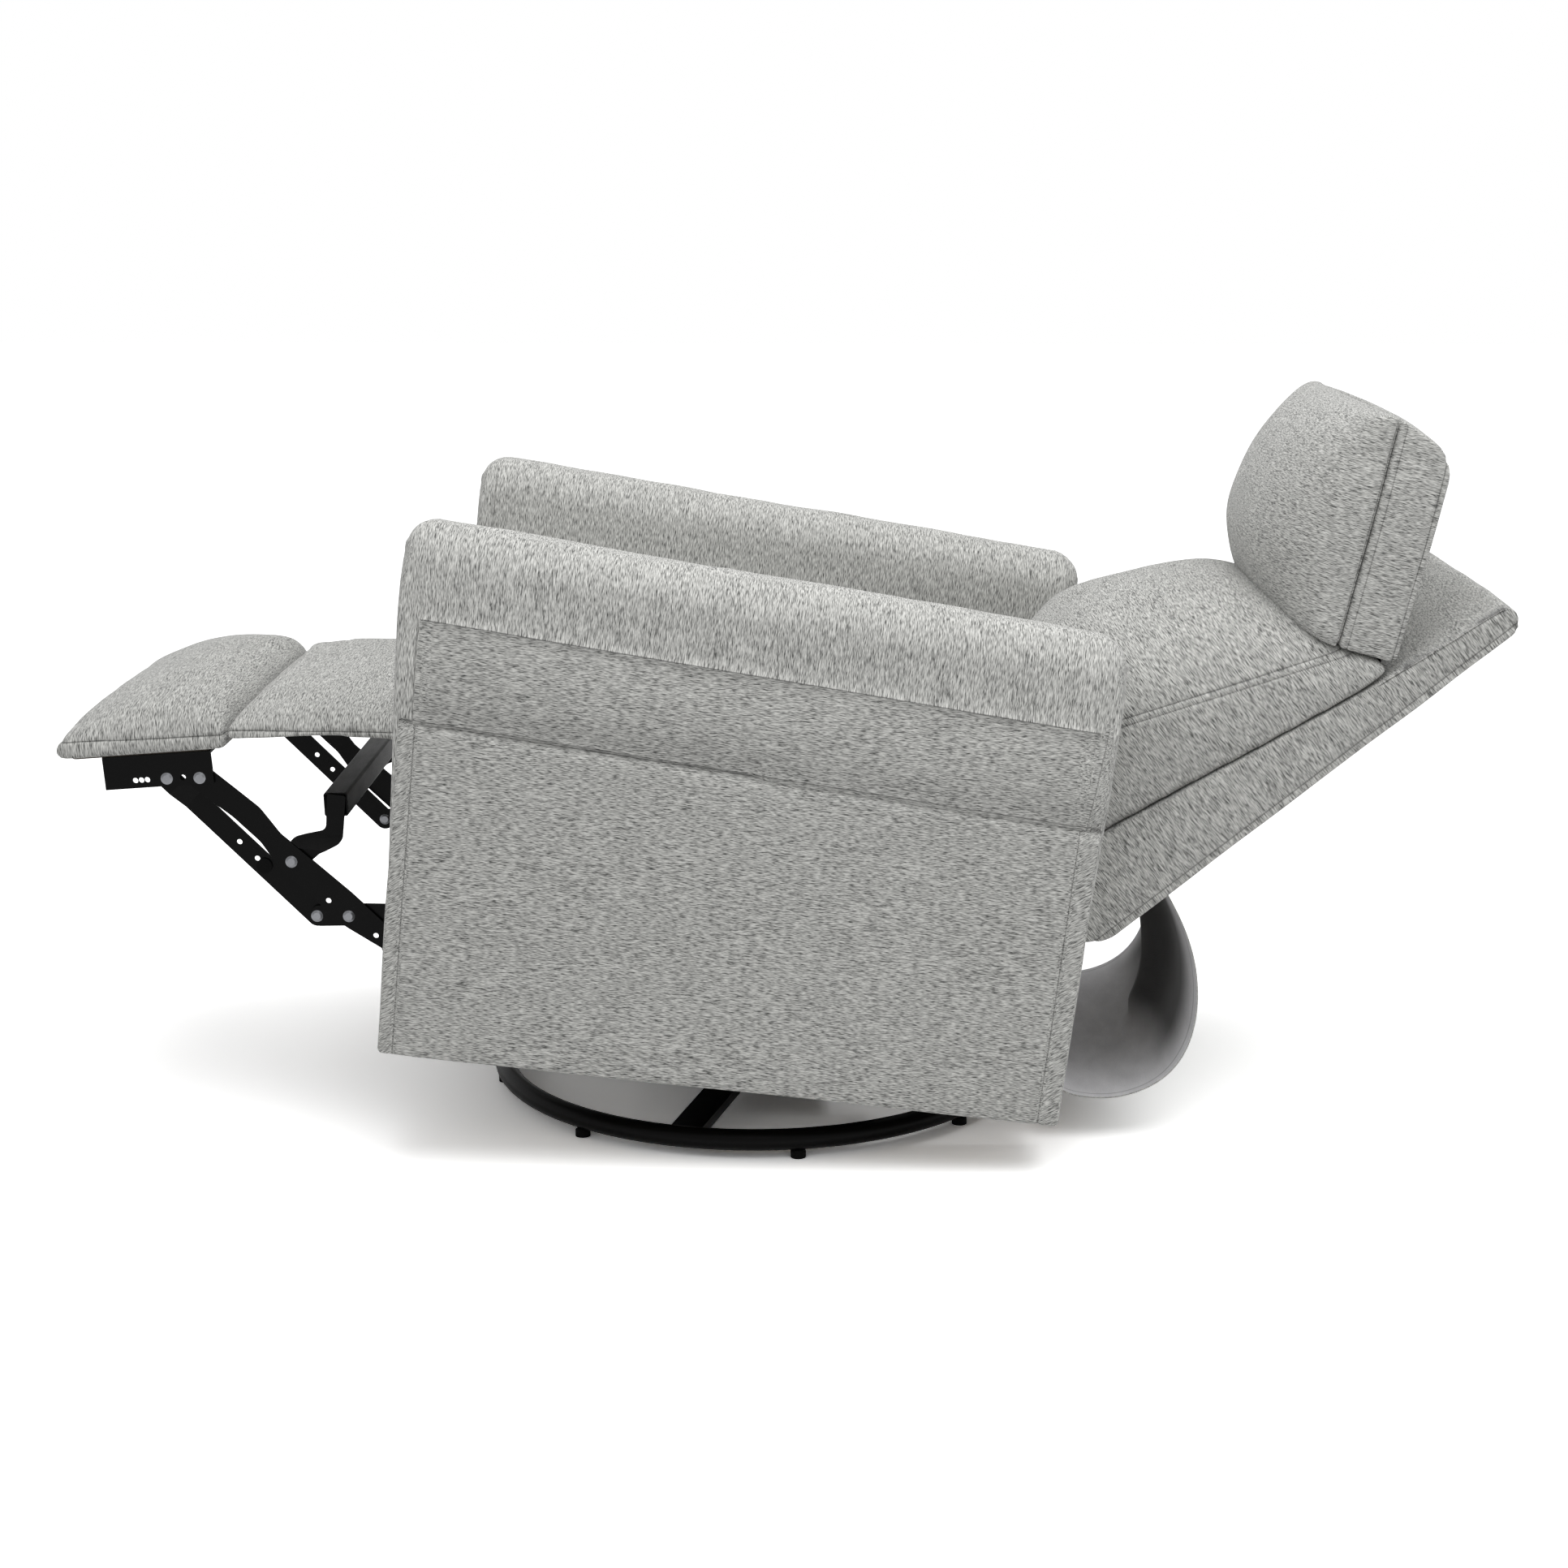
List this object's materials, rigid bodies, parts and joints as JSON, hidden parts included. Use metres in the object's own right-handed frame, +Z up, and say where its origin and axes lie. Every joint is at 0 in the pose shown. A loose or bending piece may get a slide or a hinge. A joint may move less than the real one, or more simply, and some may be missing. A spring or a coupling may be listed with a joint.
{
  "type": "swivel glider recliner",
  "caption": "Upholstered armchair that swivels on a ring base, glides on hanging links, reclines with a folding headrest and lifts a padded footrest on scissor links.",
  "frame": {"origin": "floor level under the middle of the reclined chair, close to the swivel axis", "axes": "+Z up, -Y the way the sitter faces, +X the sitter's left arm"},
  "size_m": [0.7504, 1.658, 0.8393],
  "materials": {
    "upholstery": "heathered light grey flat weave over foam, with topstitched seams",
    "webbing": "elastic woven webbing",
    "plywood": "raw sanded plywood",
    "black_steel": "black powder coat, satin",
    "bright_steel": "zinc plated, satin",
    "black_plastic": "moulded, matt",
    "black_rubber": "moulded, matt"
  },
  "bodies": {
    "base": {"base_ring": "black_steel", "base_crossbars": "black_steel", "base_feet": "black_plastic", "hub_spindle": "black_steel", "spindle_nut": "bright_steel", "lower_race": "bright_steel", "bearing_balls": "bright_steel"},
    "swivel_frame": {"upper_race": "bright_steel", "swivel_channel": "black_steel", "glide_stands": "black_steel", "stand_bolts": "bright_steel", "glide_upper_pins": "bright_steel"},
    "front_glide": {"front_glide_links": "black_steel"},
    "rear_glide": {"rear_glide_links": "black_steel"},
    "chassis": {"left_side_rail": "black_steel", "right_side_rail": "black_steel", "front_cross_tube": "black_steel", "rear_cross_tube": "black_steel", "glide_hangers": "black_steel", "glide_lower_pins": "bright_steel", "seat_front_rail": "plywood", "seat_rear_rail": "plywood", "seat_webbing": "webbing", "seat_cushion": "upholstery", "lower_rear_rail": "plywood", "left_arm_frame": "plywood", "right_arm_frame": "plywood", "left_arm_pad": "upholstery", "right_arm_pad": "upholstery", "left_pocket_panel": "upholstery", "right_pocket_panel": "upholstery", "rear_skirt": "upholstery", "recline_bolts": "bright_steel", "linkage_studs": "bright_steel"},
    "backrest": {"back_shell": "upholstery", "back_board": "plywood", "back_cushion": "upholstery", "back_brackets": "black_steel", "headrest_hinge_lugs": "black_steel"},
    "headrest": {"headrest_shell": "upholstery", "headrest_board": "plywood", "headrest_cushion": "upholstery", "headrest_hinge_leaves": "black_steel"},
    "rear_link_pair": {"rear_links": "black_steel"},
    "main_link_pair": {"main_links": "black_steel", "main_link_rivets": "bright_steel", "tube_straps": "black_steel", "link_cross_tube": "black_steel"},
    "crank_pair": {"cranks": "black_steel", "crank_rivets": "bright_steel"},
    "front_link_pair": {"front_links": "black_steel", "link_bumpers": "black_rubber"},
    "guide_link_pair": {"guide_links": "black_steel"},
    "footrest": {"footrest_board": "plywood", "footrest_front_cushion": "upholstery", "footrest_rear_cushion": "upholstery", "footrest_brackets": "black_steel", "footrest_rivets": "bright_steel"},
    "lever": {"release_lever": "black_plastic"}
  },
  "joints": [
    {"name": "swivel", "type": "hinge", "parent": "base", "child": "swivel_frame", "pos_m": [0, -0.03, 0.045], "axis": [0, 0, 1], "continuous": true},
    {"name": "glide", "type": "hinge", "parent": "swivel_frame", "child": "front_glide", "pos_m": [0, -0.1509, 0.2667], "axis": [-1, 0, 0], "range_deg": [0, 24.93]},
    {"name": "glide_chassis", "type": "hinge", "parent": "front_glide", "child": "chassis", "pos_m": [0, -0.09492, 0.12755], "axis": [1, 0, 0], "range_deg": [0, 31.94]},
    {"name": "glide_rear", "type": "hinge", "parent": "swivel_frame", "child": "rear_glide", "pos_m": [0, 0.1292, 0.2543], "axis": [-1, 0, 0], "range_deg": [0, 24.94]},
    {"name": "recline", "type": "hinge", "parent": "chassis", "child": "backrest", "pos_m": [0, 0.28503, 0.26829], "axis": [1, 0, 0], "range_deg": [0, 42], "deforming": ["rear_skirt"]},
    {"name": "headrest_tilt", "type": "hinge", "parent": "backrest", "child": "headrest", "pos_m": [0, 0.68553, 0.56502], "axis": [1, 0, 0], "range_deg": [-38, 0]},
    {"name": "footrest_unfold", "type": "hinge", "parent": "chassis", "child": "rear_link_pair", "pos_m": [0, -0.2836, 0.35873], "axis": [1, 0, 0], "range_deg": [0, 99]},
    {"name": "main_link_turn", "type": "hinge", "parent": "rear_link_pair", "child": "main_link_pair", "pos_m": [0, -0.44837, 0.22736], "axis": [1, 0, 0], "range_deg": [-71.11, 0]},
    {"name": "crank_turn", "type": "hinge", "parent": "main_link_pair", "child": "crank_pair", "pos_m": [0, -0.4966, 0.26566], "axis": [1, 0, 0], "range_deg": [0, 52.11]},
    {"name": "front_link_turn", "type": "hinge", "parent": "crank_pair", "child": "front_link_pair", "pos_m": [0, -0.53452, 0.26465], "axis": [1, 0, 0], "range_deg": [-52.11, 0]},
    {"name": "footrest_turn", "type": "hinge", "parent": "main_link_pair", "child": "footrest", "pos_m": [0, -0.66209, 0.43102], "axis": [1, 0, 0], "range_deg": [0, 52.11]},
    {"name": "guide_link_turn", "type": "hinge", "parent": "chassis", "child": "guide_link_pair", "pos_m": [0, -0.31232, 0.37622], "axis": [1, 0, 0], "range_deg": [0, 106.43]},
    {"name": "lever_pull", "type": "hinge", "parent": "chassis", "child": "lever", "pos_m": [0, -0.17211, 0.36702], "axis": [-1, 0, 0], "range_deg": [0, 22]}
  ],
  "couplings": [
    {"joint": "glide_chassis", "follows": "glide", "ratio": 1.2808},
    {"joint": "glide_rear", "follows": "glide", "ratio": 1},
    {"joint": "main_link_turn", "follows": "footrest_unfold", "ratio": -0.71818},
    {"joint": "crank_turn", "follows": "footrest_unfold", "ratio": 0.52626},
    {"joint": "front_link_turn", "follows": "footrest_unfold", "ratio": -0.52626},
    {"joint": "footrest_turn", "follows": "footrest_unfold", "ratio": 0.52626},
    {"joint": "guide_link_turn", "follows": "footrest_unfold", "ratio": 1.075}
  ]
}
